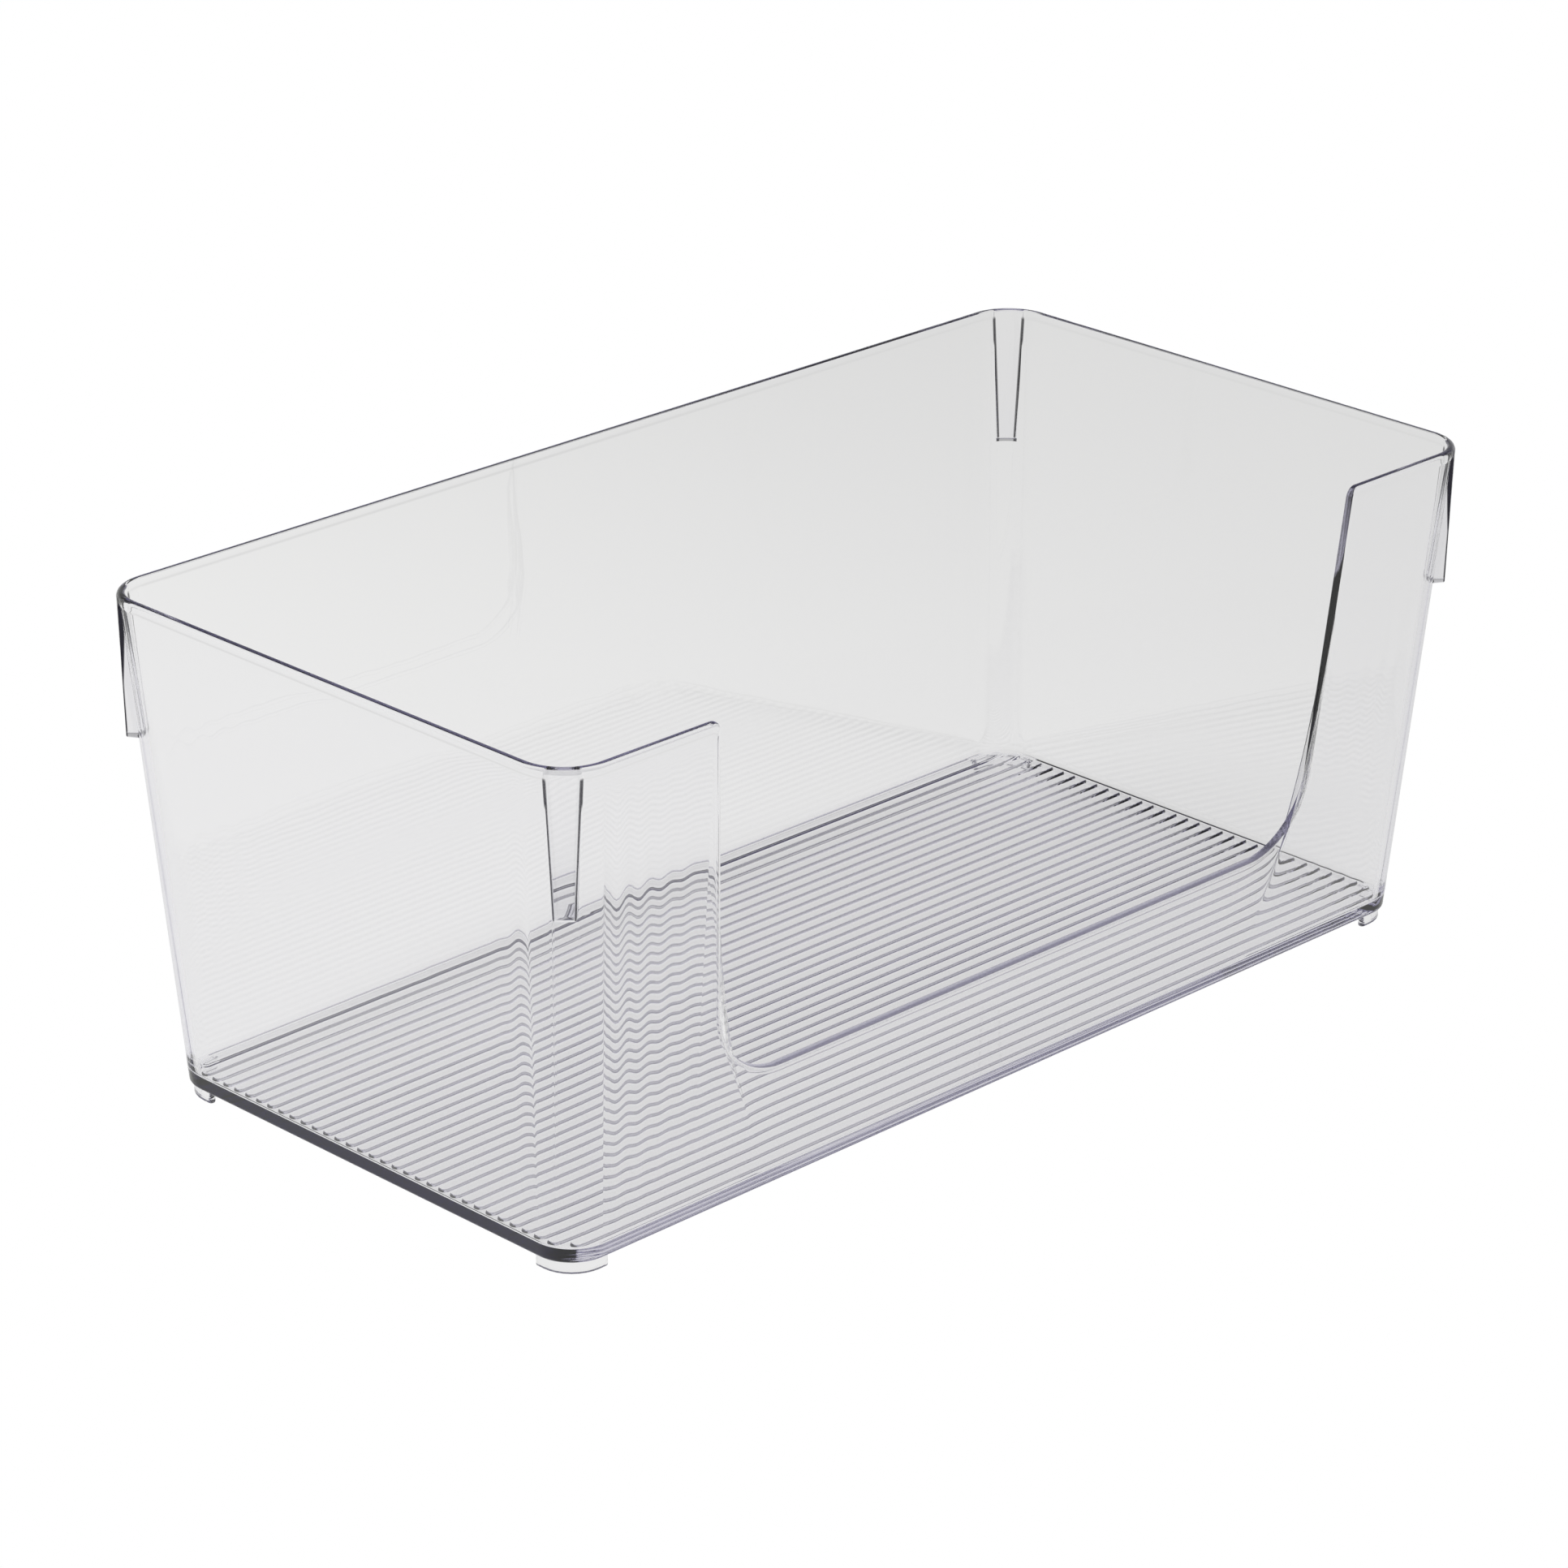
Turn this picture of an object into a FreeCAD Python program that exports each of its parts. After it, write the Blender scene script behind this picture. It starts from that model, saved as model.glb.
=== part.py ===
import FreeCAD, Part
import math
import os

# Clear fridge bin, in millimetres. +Z is up, X runs along the length and the low,
# cut-out front faces -Y. The origin is the centre of the footprint, on the plane
# that the feet stand on. The real bin is one moulding: each node here is one of
# its walls, corners, lugs, feet or its floor, meeting the next one face to face.

LENGTH = 305.0              # rim, outside, along X
DEPTH = 156.8               # rim, outside, along Y
HEIGHT = 127.0              # underside of the feet to the rim
WALL = 1.9
FLOOR = 3.0
LEAN = 9.1                  # each wall leans in by this much from rim to base
RIM_RADIUS = 12.2           # outer corner radius at the rim
BASE_RADIUS = 10.0          # outer corner radius at the base
BASE_EDGE_RADIUS = 1.0      # round-over under the floor's edge

FOOT_HEIGHT = 3.2
FOOT_INSET = 1.0            # foot's outer face, in from the base outline
FOOT_THICKNESS = 2.0
FOOT_LEG = 2.9              # straight stretch past the rounded corner

CUTOUT_TOP_WIDTH = 211.0
CUTOUT_SILL = 31.5          # lower edge of the cut-out above the base
CUTOUT_TAPER = 4.0          # degrees that each side leans in
CUTOUT_RADIUS = 20.0        # lower corners
CUTOUT_TOP_RADIUS = 2.7     # where each side meets the rim

LUG_HEIGHT = 35.8
LUG_TOP_WIDTH = 8.2
LUG_BOTTOM_WIDTH = 5.0
LUG_TOP_REACH = 12.5        # from the rim corner's centre to the lug's outer face
LUG_BOTTOM_REACH = 11.6
LUG_DRAFT = 8.0             # degrees that each side of a lug leans in, going outwards

RIB_PITCH = 4.0
RIB_COUNT = 33
RIB_WIDTH = 3.1
RIB_HEIGHT = 0.6
RIB_GAP = 1.0               # bare floor between the ribs' ends and the walls

POST_LEG = 5.0              # flat wall on each side of a corner post's bend, at the base
MARGIN = 2.0                # how far cutting blocks run past what they cut

BASE_Z = FOOT_HEIGHT
FLOOR_TOP = BASE_Z + FLOOR
SILL_Z = BASE_Z + CUTOUT_SILL
POST_X = LENGTH / 2 - LEAN - BASE_RADIUS - POST_LEG
POST_Y = DEPTH / 2 - LEAN - BASE_RADIUS - POST_LEG
CORNERS = {
    "front_left": (-1, -1),
    "front_right": (1, -1),
    "back_left": (-1, 1),
    "back_right": (1, 1),
}


def rounded_rectangle(half_x, half_y, radius, z):
    """Closed wire of a round-cornered rectangle centred on the Z axis."""
    edges = []
    previous = None
    first = None
    for quarter, (sx, sy) in enumerate([(1, 1), (-1, 1), (-1, -1), (1, -1)]):
        centre = FreeCAD.Vector(sx * (half_x - radius), sy * (half_y - radius), z)
        points = []
        for step in range(3):
            angle = (quarter + step / 2) * math.pi / 2
            points.append(centre + FreeCAD.Vector(math.cos(angle), math.sin(angle), 0) * radius)
        if previous is None:
            first = points[0]
        else:
            edges.append(Part.makeLine(previous, points[0]))
        edges.append(Part.Arc(*points).toShape())
        previous = points[2]
    edges.append(Part.makeLine(previous, first))
    return Part.Wire(edges)


def outline(z, inset=0.0):
    """The body's outline at height z, moved inwards by inset."""
    rise = (z - BASE_Z) / (HEIGHT - BASE_Z)
    lean = LEAN * (1 - rise)
    radius = BASE_RADIUS + (RIM_RADIUS - BASE_RADIUS) * rise
    return rounded_rectangle(
        LENGTH / 2 - lean - inset, DEPTH / 2 - lean - inset, radius - inset, z)


def leaning_block(low_z, high_z, inset=0.0):
    """Solid between the body's outlines at two heights."""
    return Part.makeLoft([outline(low_z, inset), outline(high_z, inset)], True, True)


def block(x, y, z):
    """Box over three (low, high) ranges."""
    size = [high - low for low, high in (x, y, z)]
    return Part.makeBox(*size, FreeCAD.Vector(x[0], y[0], z[0]))


def edges_along_y(shape, at_z):
    """Straight edges across the front wall's thickness, at one height."""
    found = []
    for edge in shape.Edges:
        box = edge.BoundBox
        if box.XLength < 0.2 and box.ZLength < 0.2 and box.YLength > 0.5 and abs(box.ZMin - at_z) < 0.2:
            found.append(edge)
    return found


def outer_body():
    """The bin's outside with nothing hollowed out, its lower edge rounded."""
    body = leaning_block(BASE_Z, HEIGHT)
    lower = [edge for edge in body.Edges if edge.BoundBox.ZMax < BASE_Z + 0.01]
    return body.makeFillet(BASE_EDGE_RADIUS, lower)


def cutout():
    """Block that leaves the low front: tapered sides and round lower corners."""
    taper = math.tan(math.radians(CUTOUT_TAPER))
    front_y = -DEPTH / 2 - MARGIN
    corners = []
    for z, side in ((SILL_Z, -1), (SILL_Z, 1), (HEIGHT + MARGIN, 1), (HEIGHT + MARGIN, -1)):
        half = CUTOUT_TOP_WIDTH / 2 - (HEIGHT - z) * taper
        corners.append(FreeCAD.Vector(side * half, front_y, z))
    face = Part.Face(Part.makePolygon(corners + corners[:1]))
    solid = face.extrude(FreeCAD.Vector(0, LEAN + WALL + 2 * MARGIN, 0))
    return solid.makeFillet(CUTOUT_RADIUS, edges_along_y(solid, SILL_Z))


def everywhere(low_z):
    """Ranges that reach past the whole bin from a height up."""
    reach = LENGTH
    return (-reach, reach), (-reach, reach), (low_z, HEIGHT + MARGIN)


def corner_region(sx, sy, start_x, start_y, z):
    """Box over one corner, outwards from (start_x, start_y)."""
    x = sorted((sx * start_x, sx * LENGTH))
    y = sorted((sy * start_y, sy * LENGTH))
    return block(x, y, z)


def corner_post(walls, sx, sy):
    return walls.common(corner_region(sx, sy, POST_X, POST_Y, (FLOOR_TOP, HEIGHT)))


def side_wall(walls, sx):
    x = sorted((sx * POST_X, sx * LENGTH))
    return walls.common(block(x, (-POST_Y, POST_Y), (FLOOR_TOP, HEIGHT)))


def back_wall(walls):
    return walls.common(block((-POST_X, POST_X), (POST_Y, LENGTH), (FLOOR_TOP, HEIGHT)))


def front_sill(walls, half_width):
    return walls.common(block((-half_width, half_width), (-LENGTH, -POST_Y), (FLOOR_TOP, HEIGHT)))


def front_panel(walls, sx, inner_x):
    """Front wall beside the cut-out, its top corner rounded into the rim."""
    x = sorted((sx * inner_x, sx * POST_X))
    panel = walls.common(block(x, (-LENGTH, -POST_Y), (FLOOR_TOP, HEIGHT)))
    across = [
        edge for edge in edges_along_y(panel, HEIGHT)
        if abs(abs(edge.CenterOfMass.x) - CUTOUT_TOP_WIDTH / 2) < 1]
    return panel.makeFillet(CUTOUT_TOP_RADIUS, across)


def lug_section(z, width, reach):
    """Wedge with a rounded outer face; its sides narrow going outwards."""
    half = width / 2
    face = math.sqrt(reach ** 2 - half ** 2)
    root = half + face * math.tan(math.radians(LUG_DRAFT))
    low, high = FreeCAD.Vector(face, -half, z), FreeCAD.Vector(face, half, z)
    root_low, root_high = FreeCAD.Vector(0, -root, z), FreeCAD.Vector(0, root, z)
    return Part.Wire([
        Part.makeLine(root_low, low),
        Part.Arc(low, FreeCAD.Vector(reach, 0, z), high).toShape(),
        Part.makeLine(high, root_high),
        Part.makeLine(root_high, root_low)])


def stacking_lug(outside, sx, sy):
    """Solid tapered lug on the outside of a corner, flush with the rim."""
    lug = Part.makeLoft([
        lug_section(HEIGHT - LUG_HEIGHT, LUG_BOTTOM_WIDTH, LUG_BOTTOM_REACH),
        lug_section(HEIGHT, LUG_TOP_WIDTH, LUG_TOP_REACH)], True, True)
    lug.rotate(FreeCAD.Vector(), FreeCAD.Vector(0, 0, 1), math.degrees(math.atan2(sy, sx)))
    lug.translate(FreeCAD.Vector(
        sx * (LENGTH / 2 - RIM_RADIUS), sy * (DEPTH / 2 - RIM_RADIUS), 0))
    return lug.cut(outside)


def foot(sx, sy):
    """Curved upright strip under one corner of the base."""
    rings = []
    for inset in (FOOT_INSET, FOOT_INSET + FOOT_THICKNESS):
        wire = rounded_rectangle(
            LENGTH / 2 - LEAN - inset, DEPTH / 2 - LEAN - inset, BASE_RADIUS - inset, 0)
        rings.append(Part.Face(wire).extrude(FreeCAD.Vector(0, 0, FOOT_HEIGHT)))
    start_x = LENGTH / 2 - LEAN - BASE_RADIUS - FOOT_LEG
    start_y = DEPTH / 2 - LEAN - BASE_RADIUS - FOOT_LEG
    region = corner_region(sx, sy, start_x, start_y, (0, FOOT_HEIGHT))
    return rings[0].cut(rings[1]).common(region)


def floor_ribs():
    """Parallel low ribs with round ends, standing on the floor. Those beside the
    front and back walls stop short of the rounded corners."""
    ribs = []
    half = RIB_WIDTH / 2
    bend = BASE_RADIUS - WALL
    bend_x = LENGTH / 2 - LEAN - WALL - bend
    bend_y = DEPTH / 2 - LEAN - WALL - bend
    room = bend - RIB_GAP - half
    for index in range(RIB_COUNT):
        y = (index - (RIB_COUNT - 1) / 2) * RIB_PITCH
        straight = bend_x + math.sqrt(room ** 2 - max(abs(y) - bend_y, 0) ** 2)
        sides = []
        for sx in (1, -1):
            low = FreeCAD.Vector(sx * straight, y - sx * half, FLOOR_TOP)
            tip = FreeCAD.Vector(sx * (straight + half), y, FLOOR_TOP)
            high = FreeCAD.Vector(sx * straight, y + sx * half, FLOOR_TOP)
            sides.append((low, tip, high))
        (low_a, tip_a, high_a), (low_b, tip_b, high_b) = sides
        wire = Part.Wire([
            Part.Arc(low_a, tip_a, high_a).toShape(),
            Part.makeLine(high_a, low_b),
            Part.Arc(low_b, tip_b, high_b).toShape(),
            Part.makeLine(high_b, low_a)])
        ribs.append(Part.Face(wire).extrude(FreeCAD.Vector(0, 0, RIB_HEIGHT)))
    return Part.makeCompound(ribs)


def build():
    outside = outer_body()
    cavity = leaning_block(FLOOR_TOP, HEIGHT + MARGIN, WALL)
    shell = outside.cut(cavity)
    walls = shell.common(block(*everywhere(FLOOR_TOP))).cut(cutout())
    sill_half = CUTOUT_TOP_WIDTH / 2 - CUTOUT_RADIUS - LEAN

    nodes = {
        "floor_panel": shell.cut(block(*everywhere(FLOOR_TOP))),
        "floor_ribs": floor_ribs(),
        "back_wall": back_wall(walls),
        "left_wall": side_wall(walls, -1),
        "right_wall": side_wall(walls, 1),
        "front_sill": front_sill(walls, sill_half),
        "front_left_panel": front_panel(walls, -1, sill_half),
        "front_right_panel": front_panel(walls, 1, sill_half),
    }
    for name, (sx, sy) in CORNERS.items():
        nodes[name + "_corner_post"] = corner_post(walls, sx, sy)
        nodes[name + "_stacking_lug"] = stacking_lug(outside, sx, sy)
        nodes[name + "_foot"] = foot(sx, sy)
    return nodes


os.makedirs("parts", exist_ok=True)
for node, shape in build().items():
    shape.exportStep("parts/" + node + ".step")
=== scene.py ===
import math

import bmesh
import bpy
from mathutils import Matrix, Vector


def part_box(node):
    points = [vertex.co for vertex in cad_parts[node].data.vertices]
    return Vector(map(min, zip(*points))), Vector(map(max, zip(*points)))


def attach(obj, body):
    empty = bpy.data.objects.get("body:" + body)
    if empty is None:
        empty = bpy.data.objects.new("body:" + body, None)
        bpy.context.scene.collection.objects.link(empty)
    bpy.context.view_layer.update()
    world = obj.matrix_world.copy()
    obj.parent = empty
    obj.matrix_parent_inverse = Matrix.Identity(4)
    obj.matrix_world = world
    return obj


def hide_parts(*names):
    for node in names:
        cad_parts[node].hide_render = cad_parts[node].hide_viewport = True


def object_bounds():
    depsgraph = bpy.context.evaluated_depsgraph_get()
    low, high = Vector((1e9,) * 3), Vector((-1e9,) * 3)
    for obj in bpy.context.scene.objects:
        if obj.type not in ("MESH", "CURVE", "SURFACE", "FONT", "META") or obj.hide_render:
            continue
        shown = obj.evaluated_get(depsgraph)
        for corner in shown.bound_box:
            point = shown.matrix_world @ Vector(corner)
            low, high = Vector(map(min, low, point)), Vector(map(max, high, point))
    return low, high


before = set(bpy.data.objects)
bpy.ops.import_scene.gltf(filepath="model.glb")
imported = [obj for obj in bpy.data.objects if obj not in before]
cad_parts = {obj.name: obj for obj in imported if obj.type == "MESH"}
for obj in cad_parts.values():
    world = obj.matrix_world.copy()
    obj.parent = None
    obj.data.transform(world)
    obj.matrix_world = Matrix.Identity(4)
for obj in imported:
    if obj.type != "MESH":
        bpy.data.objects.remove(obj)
cad_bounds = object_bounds()

# Clear fridge bin. The body is one moulding, so it is built here as one closed
# skin: columns of points run from under the lower edge, up the outside, over the
# rim or the cut-out's edge, and down the inside to the floor.

MM = 0.001

# Sizes that the frame gives.
RIM_HALF = Vector((
    (cad_bounds[1].x - cad_bounds[0].x) / 2,
    (cad_bounds[1].y - cad_bounds[0].y) / 2))
RIM_Z = cad_bounds[1].z
BASE_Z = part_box("floor_panel")[0].z
FLOOR_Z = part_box("floor_panel")[1].z
SILL_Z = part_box("front_sill")[1].z
LUG_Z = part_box("front_left_stacking_lug")[0].z
RIB_TOP_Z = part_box("floor_ribs")[1].z
RIB_TIP_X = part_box("floor_ribs")[1].x
RIB_SIDE_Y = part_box("floor_ribs")[1].y
FOOT_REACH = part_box("back_right_foot")[1]
FOOT_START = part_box("back_right_foot")[0]

# Sizes that the frame's boxes don't show.
WALL = 1.9 * MM
RIM_WALL = 1.4 * MM              # the wall thins towards the rim
LEAN = 9.1 * MM
LEAN_ANGLE = math.atan2(LEAN, RIM_Z - BASE_Z)
RIM_RADIUS = 12.2 * MM
BASE_RADIUS = 10.0 * MM
CUTOUT_HALF = 105.5 * MM
CUTOUT_TAPER = math.radians(4.0)
CUTOUT_RADIUS = 20.0 * MM
CUTOUT_TOP_RADIUS = 2.7 * MM
BAND_HEIGHT = 3.1 * MM           # slightly thicker ring under the rim
BAND_STEP = 0.22 * MM
BAND_FLARE = 1.0 * MM            # height over which the ring grows out of the wall
LUG_TOP_HALF = 4.1 * MM          # half the width of a lug's face
LUG_BOTTOM_HALF = 2.5 * MM
LUG_TOP_REACH = 12.5 * MM        # from the rim corner's centre to a lug's face
LUG_BOTTOM_REACH = 11.6 * MM
LUG_DRAFT = math.tan(math.radians(8.0))
LUG_EDGE_EASE = 0.075 * MM       # how far a lug's outer edges are drawn in
INNER_EASE = 0.75 * MM           # inner corner radius beyond a concentric one
RIPPLE = -0.035 * MM             # faint waves in the inner face beside the corners
RIPPLE_LENGTH = 6.5 * MM
RIPPLE_FADE = {"long": 12.0 * MM, "short": 3.5 * MM}
FOOT_THICKNESS = 2.0 * MM
FOOT_SET_IN = 1.0 * MM           # from the base's outline to a foot's outside
RIB_PITCH = 4.0 * MM
RIB_WIDTH = 3.1 * MM
# Half a rib's section from its side to its middle: (share of width, share of height).
RIB_PROFILE = [(1.0, 0.0), (0.96, 0.35), (0.91, 0.68), (0.82, 0.9), (0.7, 0.98), (0.5, 1.0)]
# The small flare where a foot meets the base: (extra half width, depth below the base).
FOOT_ROOT = [(0.3 * MM, 0.0), (0.08 * MM, 0.1 * MM), (0.0, 0.4 * MM)]
# A lug's lower end: (height from it, how much of the lug stands out there).
LUG_START = [(-0.05 * MM, 0.0), (0.0, 0.85), (0.08 * MM, 0.96), (0.3 * MM, 1.0)]

# Small radii.
BASE_EDGE = 1.0 * MM
RIM_EDGE = 1.1 * MM              # outside of the rim
RIM_INNER_EDGE = 0.3 * MM
FLOOR_FILLET = 1.1 * MM
FOOT_EDGE = 0.5 * MM

# The shade painted on the lugs' sides, as a band along each outer edge. The pairs are
# where the shade fades in or out: the first two across a side, from the edge of the
# lug's face, and the last outwards, from the band's inner border.
SHADE_WIDTH = 1.6 * MM           # of the band where it is widest, under the rim
SHADE_LINE_Z = 104.0 * MM        # where the band has narrowed to a line
SHADE_AMOUNT = 0.85
SHADE_SIDE_START = (-0.45 * MM, -0.2 * MM)
SHADE_SIDE_END = (0.3 * MM, 0.5 * MM)
SHADE_EDGE = (-0.7 * MM, -0.4 * MM)
SHADE_LOW_FADE = 0.5 * MM        # height above a lug's lower end where the shade sets in

# The plastic.
PLASTIC_IOR = 1.58
TINT = (0.32, 0.29, 0.52, 1)
TINT_DENSITY = 18.0
SHADE_COLOUR = (0.012, 0.010, 0.024, 1)
UNEVEN_SCALE = 40.0
UNEVEN_STRENGTH = 0.05
UNEVEN_DEPTH = 0.5 * MM

# The stage's own light, in metres across it and as strengths.
FLOOR_REACH = 12.0
PAPER_COLOUR = (1.0, 1.0, 0.99, 1)
FLOOR_FADE_X = (-0.1, 0.5)       # the floor dims from the first place along X to the second
FLOOR_GLOW = (0.86, 0.72)
PAINTED_SHADOW_STRETCH = 2.2          # the painted shadow under the bin is this much longer than it is deep
PAINTED_SHADOW_REACH = (0.15, 0.22)   # half the painted shadow's length, where it starts and ends to fade
# How much of the paper's light is left inside the painted shadow under the bin.
PAINTED_SHADOW_GLOW = 0.93
BACKDROP_RISE = (0.12, 0.45)     # upward part of the direction where it starts and ends to dim
BACKDROP_GLOW = (0.9, 0.42)
LIGHT_BOUNCES = 64               # light crosses many faces inside the clear body

# How finely the skin is divided.
EDGE_STEPS = 5
RIM_STEPS = 9
ARC_STEPS = 9
TAPER_STEPS = 12                 # along the cut-out's slanted side, and half of its sill
SIDE_STEPS = {"long": 24, "short": 10}
RIPPLE_ZONE = 34.0 * MM          # stretch beside a corner that is divided finely
RIPPLE_STEPS = 34
LUG_SIDE_SHARES = (0.3, 0.6, 0.85, 1.0)
LUG_FACE_STEPS = 8
LUG_FACE_SPREAD = 0.93           # share of a lug's face that its columns cover
FOOT_BEND_STEPS = 8
CAP_STEPS = 8                    # round a rib's or a foot's end
SHARP_ANGLE = math.radians(40)   # edges that turn more than this are shaded as sharp
LOWER_ROWS = 14                  # from the lower edge up to the lugs
LUG_ROWS = 8                     # from there up to the band
FLARE_ROWS = 4
BAND_ROWS = 2


def lerp(a, b, t):
    return a + (b - a) * t


def side_kind(side):
    """The front and the back are long, the left and the right are short."""
    return "long" if abs(side.y) > 0 else "short"


# ---------------------------------------------------------------- body outline

def rise_of(z):
    return (z - BASE_Z) / (RIM_Z - BASE_Z)


def half_size(z):
    """Half the body's outside length and depth at height z."""
    lean = LEAN * (1 - rise_of(z))
    return RIM_HALF - Vector((lean, lean))


def corner_radius(z):
    return lerp(BASE_RADIUS, RIM_RADIUS, rise_of(z))


def flat_point(side, along, z, inset):
    """Point on a flat side: side is its outward direction, along runs anticlockwise."""
    half = half_size(z)
    out = abs(side.x) * half.x + abs(side.y) * half.y - inset
    return Vector((side.x * out - side.y * along, side.y * out + side.x * along, z))


def corner_point(diagonal, u, v, z):
    """Point beside a corner's centre: u runs outwards on the diagonal, v anticlockwise."""
    half = half_size(z)
    radius = corner_radius(z)
    outward = diagonal.normalized()
    return Vector((
        diagonal.x * (half.x - radius) + outward.x * u - outward.y * v,
        diagonal.y * (half.y - radius) + outward.y * u + outward.x * v,
        z))


def fillet_rows(centre_z, radius, inset):
    """(height, inset) from a flat face round to the leaning wall."""
    rows = []
    for step in range(EDGE_STEPS + 1):
        angle = lerp(-math.pi / 2, -LEAN_ANGLE, step / EDGE_STEPS)
        z = centre_z + radius * math.sin(angle)
        lean = math.tan(LEAN_ANGLE) * (z - centre_z)
        rows.append((z, inset + lean + radius / math.cos(LEAN_ANGLE) - radius * math.cos(angle)))
    return rows


BOTTOM_ROWS = fillet_rows(BASE_Z + BASE_EDGE, BASE_EDGE, 0.0)
FLOOR_ROWS = fillet_rows(FLOOR_Z + FLOOR_FILLET, FLOOR_FILLET, WALL)


def share_at(z):
    """How far height z is from the lower edge's rounding to the rim's."""
    low_z = BOTTOM_ROWS[-1][0]
    return (z - low_z) / (RIM_Z - RIM_EDGE - low_z)


def wall_rows():
    """(share of the way up, how much of the lug stands there, how much of the band)."""
    lug_share = share_at(LUG_Z)
    band_share = share_at(RIM_Z - BAND_HEIGHT)
    rows = [(lug_share * step / LOWER_ROWS, 0.0, 0.0) for step in range(1, LOWER_ROWS)]
    rows += [(share_at(LUG_Z + rise), lug, 0.0) for rise, lug in LUG_START]
    lug_top = rows[-1][0]
    for step in range(1, LUG_ROWS + 1):
        rows.append((lerp(lug_top, band_share, step / LUG_ROWS), 1.0, 0.0))
    for step in range(1, FLARE_ROWS + 1):
        rise = step / FLARE_ROWS
        z = RIM_Z - BAND_HEIGHT + BAND_FLARE * rise
        rows.append((share_at(z), 1.0, (1 - math.cos(math.pi * rise)) / 2))
    flare_top = rows[-1][0]
    for step in range(1, BAND_ROWS + 1):
        rows.append((lerp(flare_top, 1.0, step / BAND_ROWS), 1.0, 1.0))
    return rows


WALL_ROWS = wall_rows()


def ripple(distance, fade):
    """How far the inner face waves in or out at a distance from a corner's bend."""
    wave = math.cos(2 * math.pi * distance / RIPPLE_LENGTH)
    return RIPPLE * wave * math.exp(-distance / fade)


def swell(share):
    """The waves die out at the floor and at the rim."""
    return math.sqrt(math.sin(math.pi * min(max(share, 0.0), 1.0)))


class FlatStation:
    """A column on a flat side. The rim point may lie on the cut-out's edge."""

    def __init__(self, side, base_along, rim_along, rim_z=RIM_Z, inward=(0.0, -1.0)):
        self.side = side
        self.base_along = base_along
        self.rim_along = rim_along
        self.rim_z = rim_z
        self.inward = inward

    def at(self, depth):
        """(along, height) at a depth below the rim's edge, within the wall's plane."""
        return (self.rim_along + self.inward[0] * depth, self.rim_z + self.inward[1] * depth)

    def rim(self, depth, inset):
        along, z = self.at(depth)
        return flat_point(self.side, along, z, inset)

    def wall(self, share, inset, _lug):
        low_z = BOTTOM_ROWS[-1][0]
        along, high_z = self.at(RIM_EDGE)
        z = lerp(low_z, high_z, share)
        place = lerp(self.base_along, along, share)
        if inset > WALL / 2:
            half = half_size(z)
            limit = abs(self.side.y) * half.x + abs(self.side.x) * half.y - corner_radius(z)
            fade = RIPPLE_FADE[side_kind(self.side)]
            inset += ripple(max(limit - abs(place), 0.0), fade) * swell(share)
        return flat_point(self.side, place, z, inset)

    def foot(self, z, inset):
        return flat_point(self.side, self.base_along, z, inset)


class CornerStation:
    """A column round a corner; turn is -1 before its middle and 1 after. On the bend,
    share runs from the corner's start to the lug's root. On a lug's side it runs from
    the root outwards, and across the lug's face from the middle to the edge."""

    def __init__(self, diagonal, turn, part, share):
        self.diagonal = diagonal
        self.turn = turn
        self.part = part
        self.share = share

    def lug_sizes(self, z):
        """Lug's half width at its face and at its root, its reach from the rim corner's
        centre, and how far the corner's centre has moved from there at this height."""
        rise = min(max((z - LUG_Z) / (RIM_Z - LUG_Z), 0.0), 1.0)
        half = lerp(LUG_BOTTOM_HALF, LUG_TOP_HALF, rise)
        reach = lerp(LUG_BOTTOM_REACH, LUG_TOP_REACH, rise)
        moved = (LEAN - RIM_RADIUS + BASE_RADIUS) * (1 - rise_of(max(z, LUG_Z))) * math.sqrt(2)
        radius = corner_radius(z)
        stand = moved + math.sqrt(reach ** 2 - half ** 2) - math.sqrt(radius ** 2 - half ** 2)
        return half, half + LUG_DRAFT * stand, reach, moved

    def point(self, z, inset, lug):
        radius = corner_radius(z)
        half, root, reach, moved = self.lug_sizes(z)
        if self.part == "bend":
            across = radius * math.sin(lerp(math.pi / 4, math.asin(root / radius), self.share))
        elif self.part == "side":
            across = lerp(root, half, self.share)
        else:
            across = half * self.share
        angle = math.asin(across / radius)
        ease = INNER_EASE * max(inset, 0.0) / WALL
        bend = radius - inset + ease
        u = bend * math.cos(angle) - math.sqrt(2) * ease
        v = bend * math.sin(angle)
        if lug > 0 and self.part != "bend":
            face_u = moved + math.sqrt(reach ** 2 - min(across, half) ** 2) - max(inset, 0.0)
            if self.part == "side":
                face_u = lerp(u, face_u, self.share)
                if self.share == LUG_SIDE_SHARES[-1]:
                    face_u -= LUG_EDGE_EASE
            u = max(u, lerp(u, face_u, lug))
            v = lerp(v, across, lug)
        return corner_point(self.diagonal, u, self.turn * v, z)

    def rim(self, depth, inset):
        return self.point(RIM_Z - depth, inset, 0.0)

    def wall(self, share, inset, lug):
        z = lerp(BOTTOM_ROWS[-1][0], RIM_Z - RIM_EDGE, share)
        if inset > WALL / 2:
            inset += ripple(0.0, 1.0) * swell(share)
        return self.point(z, inset, lug)

    def foot(self, z, inset):
        return self.point(z, inset, 0.0)


# ------------------------------------------------------------------- stations

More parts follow.
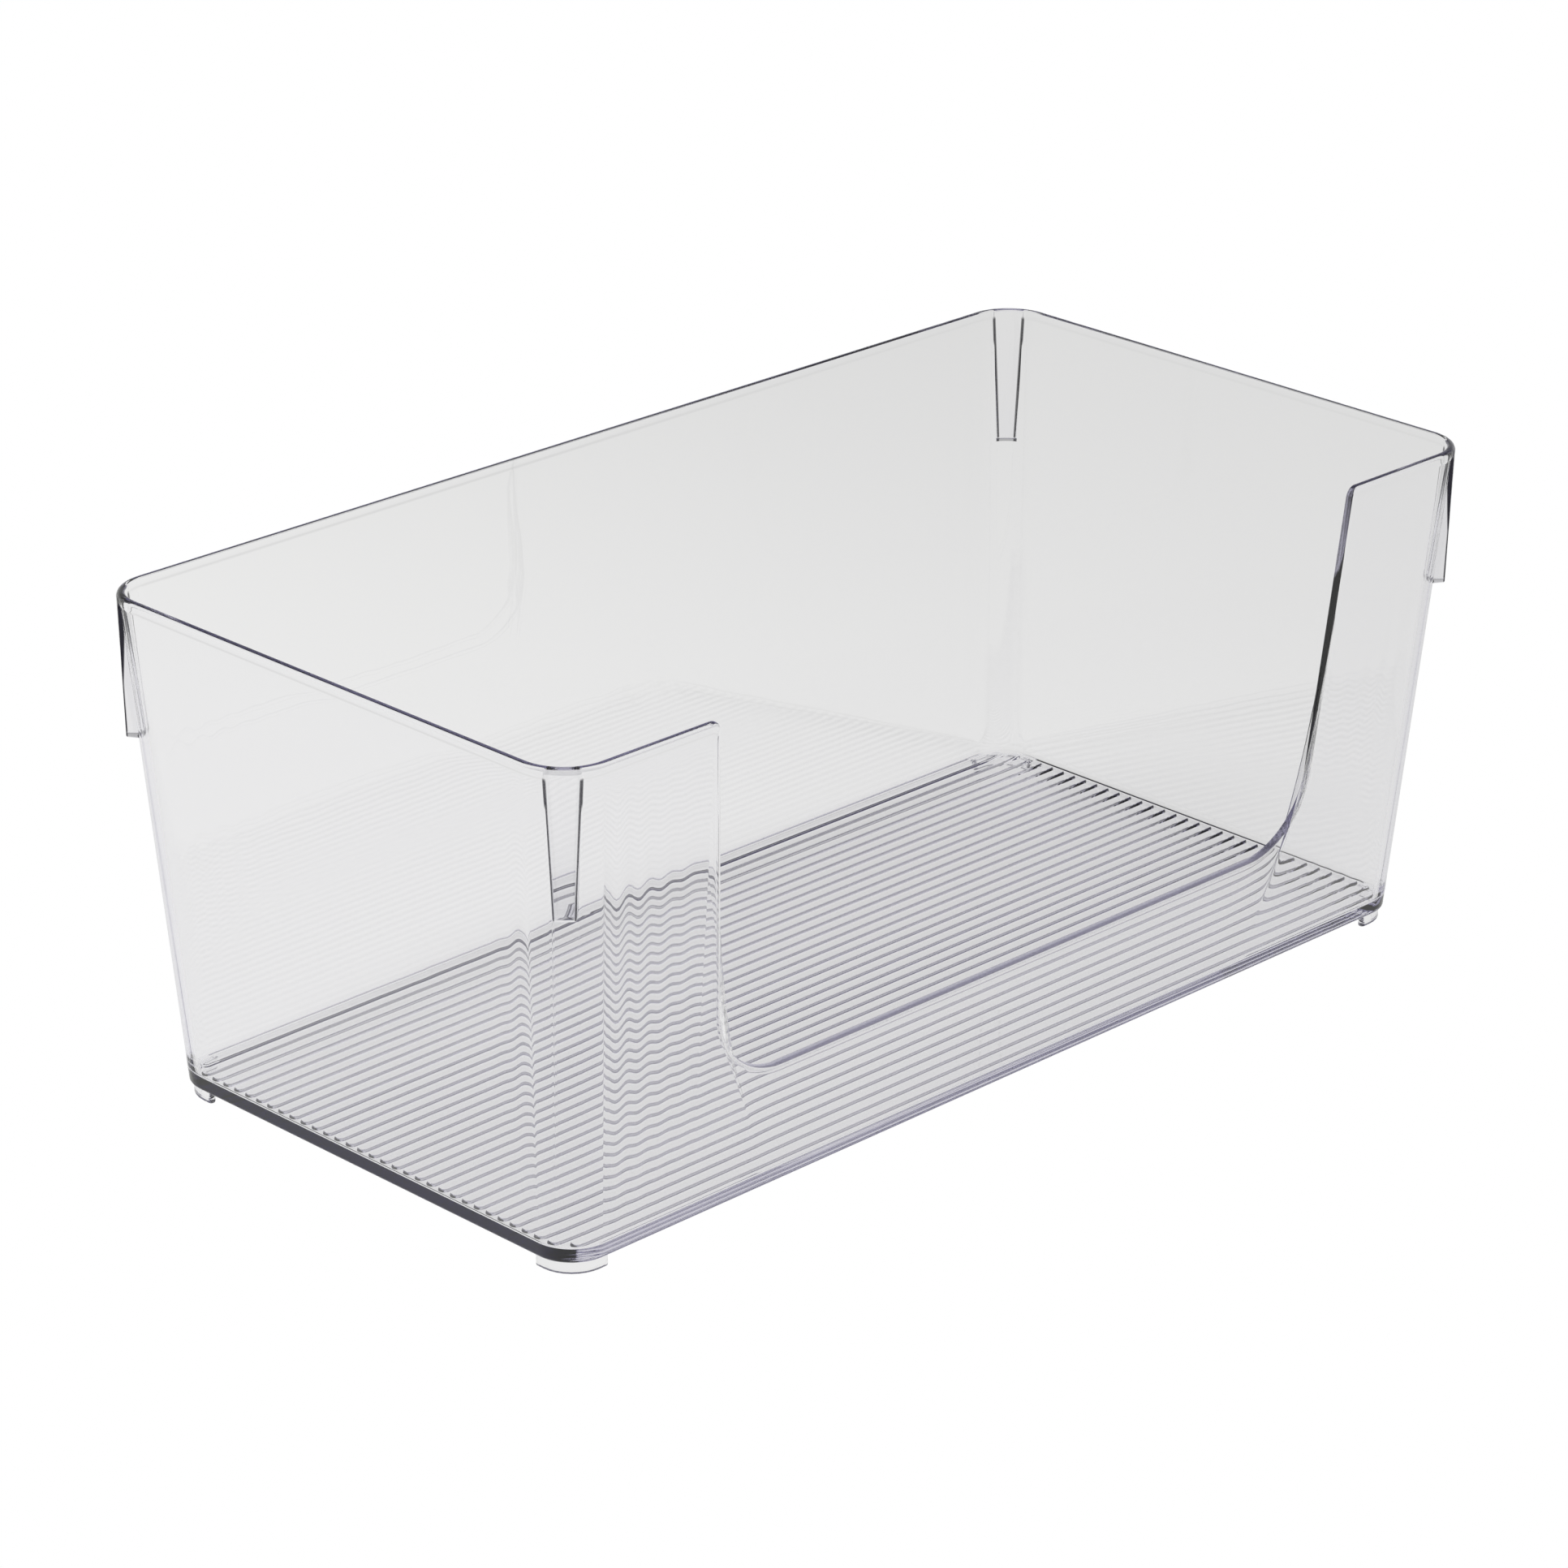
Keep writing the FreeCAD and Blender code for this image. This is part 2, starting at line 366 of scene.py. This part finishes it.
def cutout_edge():
    """The front's upper edge from left to right: (along, height, inward) points."""
    points = []
    turn = math.pi / 2 - CUTOUT_TAPER
    top_x = CUTOUT_HALF + CUTOUT_TOP_RADIUS * math.tan(turn / 2)
    top_z = RIM_Z - CUTOUT_TOP_RADIUS
    for step in range(ARC_STEPS + 1):
        angle = turn * step / ARC_STEPS
        points.append((
            -top_x + CUTOUT_TOP_RADIUS * math.sin(angle),
            top_z + CUTOUT_TOP_RADIUS * math.cos(angle),
            (-math.sin(angle), -math.cos(angle))))
    sill_half = CUTOUT_HALF - (RIM_Z - SILL_Z) * math.tan(CUTOUT_TAPER)
    low_x = sill_half - CUTOUT_RADIUS * math.tan(turn / 2)
    low_z = SILL_Z + CUTOUT_RADIUS
    arc = []
    for step in range(2 * ARC_STEPS + 1):
        angle = turn * (1 - step / (2 * ARC_STEPS))
        arc.append((
            -low_x - CUTOUT_RADIUS * math.sin(angle),
            low_z - CUTOUT_RADIUS * math.cos(angle),
            (-math.sin(angle), -math.cos(angle))))
    start, end = points[-1], arc[0]
    for step in range(1, TAPER_STEPS):
        share = step / TAPER_STEPS
        points.append((lerp(start[0], end[0], share), lerp(start[1], end[1], share), end[2]))
    points += arc
    for step in range(1, TAPER_STEPS):
        points.append((-low_x * (1 - step / TAPER_STEPS), SILL_Z, (0.0, -1.0)))
    middle = [(0.0, SILL_Z, (0.0, -1.0))]
    mirrored = [(-x, z, (-inward[0], inward[1])) for x, z, inward in reversed(points)]
    return points + middle + mirrored


def front_stations(side):
    """Columns of the front wall. Each one's foot lies halfway between its share of the
    upper edge's length and the place below its rim point, so that none of them cross."""
    limit = half_size(BASE_Z).x - BASE_RADIUS
    rim_limit = RIM_HALF.x - RIM_RADIUS
    edge = cutout_edge()
    lead = [
        (lerp(-rim_limit, edge[0][0], step / RIPPLE_STEPS), RIM_Z, (0.0, -1.0))
        for step in range(1, RIPPLE_STEPS)]
    tail = [(-x, z, inward) for x, z, inward in reversed(lead)]
    path = lead + edge + tail
    lengths = [abs(path[0][0] + rim_limit)]
    for last, here in zip(path, path[1:]):
        lengths.append(lengths[-1] + math.hypot(here[0] - last[0], here[1] - last[1]))
    total = lengths[-1] + lengths[0]
    stations = []
    for (x, z, inward), length in zip(path, lengths):
        by_length = limit * (2 * length / total - 1)
        by_place = x * limit / rim_limit
        stations.append(FlatStation(side, lerp(by_length, by_place, 0.5), x, z, inward))
    return stations


def plain_stations(side):
    """Columns of a wall with a level rim, closer together beside the corners."""
    steps = SIDE_STEPS[side_kind(side)]
    axis = 0 if side_kind(side) == "long" else 1
    low = half_size(BASE_Z)[axis] - BASE_RADIUS
    high = RIM_HALF[axis] - RIM_RADIUS
    near = RIPPLE_ZONE / high
    shares = [near * step / RIPPLE_STEPS - 1 for step in range(1, RIPPLE_STEPS)]
    shares += [lerp(near - 1, 1 - near, step / steps) for step in range(steps + 1)]
    shares += [1 - near * step / RIPPLE_STEPS for step in range(RIPPLE_STEPS - 1, 0, -1)]
    return [FlatStation(side, low * share, high * share) for share in shares]


def corner_stations(diagonal):
    """Columns round one corner, from its start to its end, over the lug."""
    half = [("bend", step / ARC_STEPS) for step in range(ARC_STEPS + 1)]
    half += [("side", share) for share in LUG_SIDE_SHARES]
    for step in range(LUG_FACE_STEPS, 0, -1):
        half.append(("face", LUG_FACE_SPREAD * step / LUG_FACE_STEPS))
    start = [CornerStation(diagonal, -1, part, share) for part, share in half]
    end = [CornerStation(diagonal, 1, part, share) for part, share in reversed(half)]
    return start + [CornerStation(diagonal, 1, "face", 0.0)] + end


def all_stations():
    """Every column, anticlockwise from the front wall's left end."""
    return (
        front_stations(Vector((0, -1)))
        + corner_stations(Vector((1, -1)))
        + plain_stations(Vector((1, 0)))
        + corner_stations(Vector((1, 1)))
        + plain_stations(Vector((0, 1)))
        + corner_stations(Vector((-1, 1)))
        + plain_stations(Vector((-1, 0)))
        + corner_stations(Vector((-1, -1))))


def column_points(station):
    """One column: lower edge, outside, rim, inside, floor fillet."""
    points = [station.foot(z, inset) for z, inset in BOTTOM_ROWS]
    points += [station.wall(share, -BAND_STEP * band, lug) for share, lug, band in WALL_ROWS]
    for step in range(1, RIM_STEPS):
        angle = math.pi / 2 * step / (RIM_STEPS - 1)
        points.append(station.rim(
            RIM_EDGE * (1 - math.sin(angle)),
            RIM_EDGE * (1 - math.cos(angle)) - BAND_STEP))
    for step in range(EDGE_STEPS):
        angle = math.pi / 2 * (1 - step / (EDGE_STEPS - 1))
        points.append(station.rim(
            RIM_INNER_EDGE * (1 - math.sin(angle)),
            RIM_WALL - RIM_INNER_EDGE * (1 - math.cos(angle))))
    for share, _, _ in reversed(WALL_ROWS[:-1:2]):
        points.append(station.wall(share, lerp(WALL, RIM_WALL, share), 0.0))
    points += [station.foot(z, inset) for z, inset in reversed(FLOOR_ROWS)]
    return points


# -------------------------------------------------------------- ribs and feet

def loop_edges(bm, loop):
    return [bm.edges.get((a, b)) for a, b in zip(loop, loop[1:] + loop[:1])]


def strip_outline(path, half_width):
    """Closed outline of a strip of even width with round ends, along a flat path."""
    left, right = [], []
    for index, point in enumerate(path):
        before = path[max(index - 1, 0)]
        after = path[min(index + 1, len(path) - 1)]
        ahead = (after - before).normalized()
        across = Vector((-ahead.y, ahead.x)) * half_width
        left.append(point + across)
        right.append(point - across)

    def cap(centre, first):
        radius = first - centre
        turned = []
        for step in range(1, CAP_STEPS):
            angle = -math.pi * step / CAP_STEPS
            turned.append(centre + Vector((
                radius.x * math.cos(angle) - radius.y * math.sin(angle),
                radius.x * math.sin(angle) + radius.y * math.cos(angle))))
        return turned

    return left + cap(path[-1], left[-1]) + right[::-1] + cap(path[0], right[0])


def add_strip(bm, path, rows):
    """A raised strip: rows are (half width, height). Returns its first loop's edges."""
    loops = []
    for half_width, z in rows:
        loops.append([bm.verts.new((p.x, p.y, z)) for p in strip_outline(path, half_width)])
    for lower, upper in zip(loops, loops[1:]):
        for index in range(len(lower)):
            following = (index + 1) % len(lower)
            bm.faces.new((lower[index], lower[following], upper[following], upper[index]))
    bm.faces.new(loops[-1])
    return loop_edges(bm, loops[0])


def rib_paths():
    """Middle lines of the ribs. The outer ones end earlier, to follow the rounded corners."""
    half = RIB_WIDTH / 2
    bend_centre = half_size(BASE_Z) - Vector((BASE_RADIUS, BASE_RADIUS))
    room = RIB_TIP_X - half - bend_centre.x
    count = round(2 * (RIB_SIDE_Y - half) / RIB_PITCH) + 1
    for index in range(count):
        y = (index - (count - 1) / 2) * RIB_PITCH
        reach = bend_centre.x + math.sqrt(room ** 2 - max(abs(y) - bend_centre.y, 0) ** 2)
        yield [Vector((-reach, y)), Vector((reach, y))]


def rib_rows():
    """Rounded rib: steep at its side, nearly flat on top."""
    height = RIB_TOP_Z - FLOOR_Z
    return [(RIB_WIDTH / 2 * width, FLOOR_Z + height * rise) for width, rise in RIB_PROFILE]


def foot_path(sx, sy):
    """Middle line of a foot: a short leg, the corner's bend, a short leg."""
    half = FOOT_THICKNESS / 2
    outer = Vector((FOOT_REACH.x, FOOT_REACH.y)) - Vector((half, half))
    start = Vector((FOOT_START.x, FOOT_START.y)) + Vector((half, half))
    bend = BASE_RADIUS - FOOT_SET_IN - half
    centre = outer - Vector((bend, bend))
    path = [Vector((start.x, outer.y))]
    for step in range(FOOT_BEND_STEPS + 1):
        angle = math.pi / 2 * (1 - step / FOOT_BEND_STEPS)
        path.append(centre + Vector((math.cos(angle), math.sin(angle))) * bend)
    path.append(Vector((outer.x, start.y)))
    return [Vector((sx * p.x, sy * p.y)) for p in path]


def foot_rows():
    """(half width, height) from the base down to the foot's rounded lower edge."""
    half = FOOT_THICKNESS / 2
    rows = [(half + extra, BASE_Z - depth) for extra, depth in FOOT_ROOT]
    for step in range(EDGE_STEPS):
        angle = math.pi / 2 * step / (EDGE_STEPS - 1)
        rows.append((half - FOOT_EDGE * (1 - math.cos(angle)), FOOT_EDGE * (1 - math.sin(angle))))
    return rows


# ------------------------------------------------------------------- the body

def build_body():
    """The whole bin as one closed mesh object."""
    bm = bmesh.new()
    columns = [[bm.verts.new(p) for p in column_points(s)] for s in all_stations()]
    for here, after in zip(columns, columns[1:] + columns[:1]):
        for row in range(len(here) - 1):
            bm.faces.new((here[row], after[row], after[row + 1], here[row + 1]))

    floor = loop_edges(bm, [column[-1] for column in columns])
    for path in rib_paths():
        floor += add_strip(bm, path, rib_rows())
    bmesh.ops.triangle_fill(bm, use_beauty=True, edges=floor)

    underside = loop_edges(bm, [column[0] for column in columns])
    for sx in (-1, 1):
        for sy in (-1, 1):
            underside += add_strip(bm, foot_path(sx, sy), foot_rows())
    bmesh.ops.triangle_fill(bm, use_beauty=True, edges=underside)

    bmesh.ops.recalc_face_normals(bm, faces=bm.faces)
    mesh = bpy.data.meshes.new("clear_body")
    bm.to_mesh(mesh)
    bm.free()
    for polygon in mesh.polygons:
        polygon.use_smooth = True
    mesh.set_sharp_from_angle(angle=SHARP_ANGLE)
    body = bpy.data.objects.new("clear_body", mesh)
    bpy.context.scene.collection.objects.link(body)
    weighted = body.modifiers.new("even_shading", "WEIGHTED_NORMAL")
    weighted.keep_sharp = True
    weighted.weight = 100
    return body


# ----------------------------------------------------------------- materials

def ramp(tree, socket, low, high, out_low, out_high, interpolation="SMOOTHSTEP"):
    """Change from one value to another as a socket goes from low to high."""
    made = tree.nodes.new("ShaderNodeMapRange")
    made.interpolation_type = interpolation
    for name, value in (
            ("From Min", low), ("From Max", high), ("To Min", out_low), ("To Max", out_high)):
        made.inputs[name].default_value = value
    tree.links.new(socket, made.inputs["Value"])
    return made.outputs["Result"]


def math_node(tree, operation, *values):
    """A math node fed with numbers or sockets; returns its output."""
    made = tree.nodes.new("ShaderNodeMath")
    made.operation = operation
    for slot, value in enumerate(values):
        if isinstance(value, float):
            made.inputs[slot].default_value = value
        else:
            tree.links.new(value, made.inputs[slot])
    return made.outputs["Value"]


def lug_side_shade(tree, place):
    """How dark a place is painted: up to SHADE_AMOUNT on the sides of the lugs beside
    their outer edges, in a band that is broad under the rim and a thin line lower down.
    The real plastic has no such colour. The paint stands in for dark surroundings that
    a lug's side would show by refraction."""
    parts = tree.nodes.new("ShaderNodeSeparateXYZ")
    tree.links.new(place, parts.inputs["Vector"])
    x = math_node(tree, "ABSOLUTE", parts.outputs["X"])
    y = math_node(tree, "ABSOLUTE", parts.outputs["Y"])
    z = parts.outputs["Z"]
    centre = RIM_HALF - Vector((RIM_RADIUS, RIM_RADIUS))
    from_x = math_node(tree, "SUBTRACT", x, float(centre.x))
    from_y = math_node(tree, "SUBTRACT", y, float(centre.y))
    diagonal = math.sqrt(0.5)
    total = math_node(tree, "ADD", from_x, from_y)
    out = math_node(tree, "MULTIPLY", total, diagonal)
    difference = math_node(tree, "SUBTRACT", from_x, from_y)
    aside = math_node(tree, "ABSOLUTE", math_node(tree, "MULTIPLY", difference, diagonal))
    half = ramp(tree, z, LUG_Z, RIM_Z, LUG_BOTTOM_HALF, LUG_TOP_HALF, "LINEAR")
    reach = ramp(tree, z, LUG_Z, RIM_Z, LUG_BOTTOM_REACH, LUG_TOP_REACH, "LINEAR")
    width = ramp(tree, z, SHADE_LINE_Z, RIM_Z - BAND_HEIGHT, 0.0, SHADE_WIDTH, "LINEAR")
    beyond_edge = math_node(tree, "SUBTRACT", aside, half)
    beyond_band = math_node(tree, "ADD", math_node(tree, "SUBTRACT", out, reach), width)
    on_side = math_node(
        tree, "MULTIPLY",
        ramp(tree, beyond_edge, *SHADE_SIDE_START, 0.0, 1.0),
        ramp(tree, beyond_edge, *SHADE_SIDE_END, 1.0, 0.0))
    shade = math_node(
        tree, "MULTIPLY", on_side, ramp(tree, beyond_band, *SHADE_EDGE, 0.0, SHADE_AMOUNT))
    inside_lug = ramp(tree, z, LUG_Z, LUG_Z + SHADE_LOW_FADE, 0.0, 1.0)
    below_band = ramp(tree, z, RIM_Z - BAND_HEIGHT, RIM_Z - BAND_HEIGHT + BAND_FLARE, 1.0, 0.0)
    return math_node(tree, "MULTIPLY", shade, math_node(tree, "MULTIPLY", inside_lug, below_band))


def clear_plastic():
    """Polished clear plastic, faintly uneven, with the painted shade on the lugs' sides."""
    material = bpy.data.materials.new("clear_plastic")
    material.use_nodes = True
    tree = material.node_tree
    shader = tree.nodes["Principled BSDF"]
    shader.inputs["Base Color"].default_value = (1.0, 1.0, 1.0, 1)
    shader.inputs["Roughness"].default_value = 0.0
    shader.inputs["IOR"].default_value = PLASTIC_IOR
    shader.inputs["Transmission Weight"].default_value = 1.0
    absorption = tree.nodes.new("ShaderNodeVolumeAbsorption")
    absorption.inputs["Color"].default_value = TINT
    absorption.inputs["Density"].default_value = TINT_DENSITY
    tree.links.new(absorption.outputs["Volume"], tree.nodes["Material Output"].inputs["Volume"])
    noise = tree.nodes.new("ShaderNodeTexNoise")
    noise.inputs["Scale"].default_value = UNEVEN_SCALE
    bump = tree.nodes.new("ShaderNodeBump")
    bump.inputs["Strength"].default_value = UNEVEN_STRENGTH
    bump.inputs["Distance"].default_value = UNEVEN_DEPTH
    place = tree.nodes.new("ShaderNodeTexCoord")
    tree.links.new(place.outputs["Object"], noise.inputs["Vector"])
    tree.links.new(noise.outputs["Fac"], bump.inputs["Height"])
    tree.links.new(bump.outputs["Normal"], shader.inputs["Normal"])
    dark = tree.nodes.new("ShaderNodeBsdfDiffuse")
    dark.inputs["Color"].default_value = SHADE_COLOUR
    mix = tree.nodes.new("ShaderNodeMixShader")
    tree.links.new(lug_side_shade(tree, place.outputs["Object"]), mix.inputs["Fac"])
    tree.links.new(shader.outputs["BSDF"], mix.inputs[1])
    tree.links.new(dark.outputs["BSDF"], mix.inputs[2])
    tree.links.new(mix.outputs["Shader"], tree.nodes["Material Output"].inputs["Surface"])
    return material


def floor_material():
    """Pale paper that gives off soft light, a little less to the right, with a painted shadow
    under the bin where its light is dimmed.
    Camera rays that reach it directly see plain white."""
    material = bpy.data.materials.new("studio_floor")
    material.use_nodes = True
    tree = material.node_tree
    tree.nodes.remove(tree.nodes["Principled BSDF"])
    place = tree.nodes.new("ShaderNodeTexCoord")
    stretch = tree.nodes.new("ShaderNodeVectorMath")
    stretch.operation = "MULTIPLY"
    stretch.inputs[1].default_value = (1.0, PAINTED_SHADOW_STRETCH, 1.0)
    distance = tree.nodes.new("ShaderNodeVectorMath")
    distance.operation = "LENGTH"
    across = tree.nodes.new("ShaderNodeSeparateXYZ")
    tree.links.new(place.outputs["Object"], stretch.inputs[0])
    tree.links.new(stretch.outputs["Vector"], distance.inputs[0])
    tree.links.new(place.outputs["Object"], across.inputs["Vector"])
    lit_paper = tree.nodes.new("ShaderNodeEmission")
    lit_paper.inputs["Color"].default_value = PAPER_COLOUR
    fade = ramp(tree, across.outputs["X"], *FLOOR_FADE_X, *FLOOR_GLOW)
    # Painted shadow: the paper's light is dimmed in a patch under the bin.
    shade = ramp(tree, distance.outputs["Value"], *PAINTED_SHADOW_REACH, PAINTED_SHADOW_GLOW, 1.0)
    tree.links.new(math_node(tree, "MULTIPLY", fade, shade), lit_paper.inputs["Strength"])
    white = tree.nodes.new("ShaderNodeEmission")
    path = tree.nodes.new("ShaderNodeLightPath")
    mix = tree.nodes.new("ShaderNodeMixShader")
    tree.links.new(path.outputs["Is Camera Ray"], mix.inputs["Fac"])
    tree.links.new(lit_paper.outputs["Emission"], mix.inputs[1])
    tree.links.new(white.outputs["Emission"], mix.inputs[2])
    tree.links.new(mix.outputs["Shader"], tree.nodes["Material Output"].inputs["Surface"])
    return material


# --------------------------------------------------------------------- studio

def add_floor():
    mesh = bpy.data.meshes.new("studio_floor")
    signs = ((-1, -1), (1, -1), (1, 1), (-1, 1))
    corners = [(FLOOR_REACH * sx, FLOOR_REACH * sy, 0.0) for sx, sy in signs]
    mesh.from_pydata(corners, [], [(0, 1, 2, 3)])
    floor = bpy.data.objects.new("studio_floor", mesh)
    floor.data.materials.append(floor_material())
    bpy.context.scene.collection.objects.link(floor)


def add_world():
    """Pale backdrop up from the horizon, a dim room overhead. Camera rays that reach it
    directly see plain white."""
    world = bpy.data.worlds.new("studio")
    bpy.context.scene.world = world
    world.use_nodes = True
    tree = world.node_tree
    background = tree.nodes["Background"]
    background.inputs["Color"].default_value = (1.0, 1.0, 1.0, 1)
    direction = tree.nodes.new("ShaderNodeTexCoord")
    parts = tree.nodes.new("ShaderNodeSeparateXYZ")
    tree.links.new(direction.outputs["Generated"], parts.inputs["Vector"])
    glow = ramp(tree, parts.outputs["Z"], *BACKDROP_RISE, *BACKDROP_GLOW)
    path = tree.nodes.new("ShaderNodeLightPath")
    level = math_node(tree, "MAXIMUM", glow, path.outputs["Is Camera Ray"])
    tree.links.new(level, background.inputs["Strength"])


def add_camera():
    """Long lens, seen over the near left corner of the cut-out front. The angles, the
    target and the lens were fitted to the outlines in the photograph."""
    azimuth = math.radians(-44.925)
    elevation = math.radians(22.854)
    roll = math.radians(0.265)
    target = Vector((-15.2, -6.9, 63.8)) * MM
    distance = 1330.0 * MM
    data = bpy.data.cameras.new("camera")
    data.lens = 127.9
    data.sensor_width = 36.0
    camera = bpy.data.objects.new("camera", data)
    back = Vector((
        math.sin(azimuth) * math.cos(elevation),
        -math.cos(azimuth) * math.cos(elevation),
        math.sin(elevation)))
    camera.location = target + back * distance
    turn = (-back).to_track_quat("-Z", "Y").to_matrix()
    camera.rotation_euler = (turn @ Matrix.Rotation(roll, 3, "Z")).to_euler()
    bpy.context.scene.collection.objects.link(camera)
    bpy.context.scene.camera = camera


body = build_body()
body.data.materials.append(clear_plastic())
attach(body, "root")
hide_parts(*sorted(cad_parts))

add_floor()
add_world()
add_camera()
bpy.context.scene.view_settings.view_transform = "Standard"
bpy.context.scene.cycles.max_bounces = LIGHT_BOUNCES
bpy.context.scene.cycles.transmission_bounces = LIGHT_BOUNCES
bpy.context.scene.cycles.glossy_bounces = LIGHT_BOUNCES
